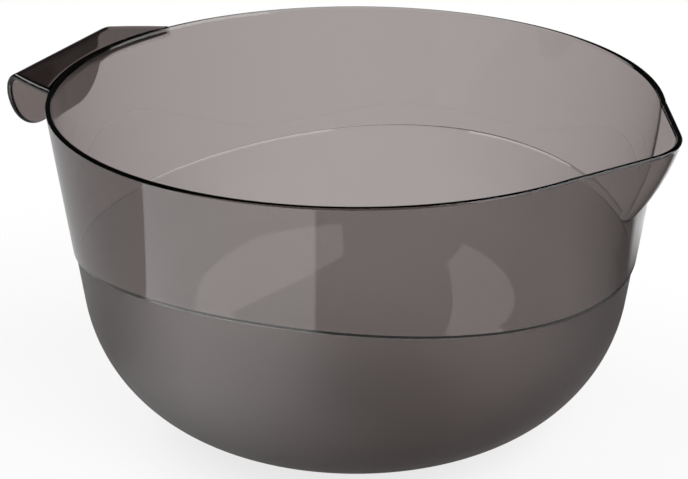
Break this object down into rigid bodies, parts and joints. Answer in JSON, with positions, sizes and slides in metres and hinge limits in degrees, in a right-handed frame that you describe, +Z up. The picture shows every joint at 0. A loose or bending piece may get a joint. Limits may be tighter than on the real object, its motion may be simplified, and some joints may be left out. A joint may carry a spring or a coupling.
{
  "type": "batter bowl",
  "caption": "Batter bowl: clear smoke wall with a V-shaped pouring beak, frosted rounded cup below it, and a hooked lip handle opposite the beak; it stands on a soft ring.",
  "frame": {"origin": "on the bowl's axis, on the surface that the foot ring stands on", "axes": "+Z up along the bowl's axis, +X towards the pouring beak, the handle towards -X"},
  "size_m": [0.2706, 0.24, 0.134],
  "materials": {
    "clear_plastic": "clear smoke, polished",
    "frosted_plastic": "smoke, frosted outside",
    "soft_ring": "soft, matt"
  },
  "bodies": {
    "root": {"upper_bowl": "clear_plastic", "lower_bowl": "frosted_plastic", "handle": "clear_plastic", "foot_ring": "soft_ring"}
  },
  "joints": []
}
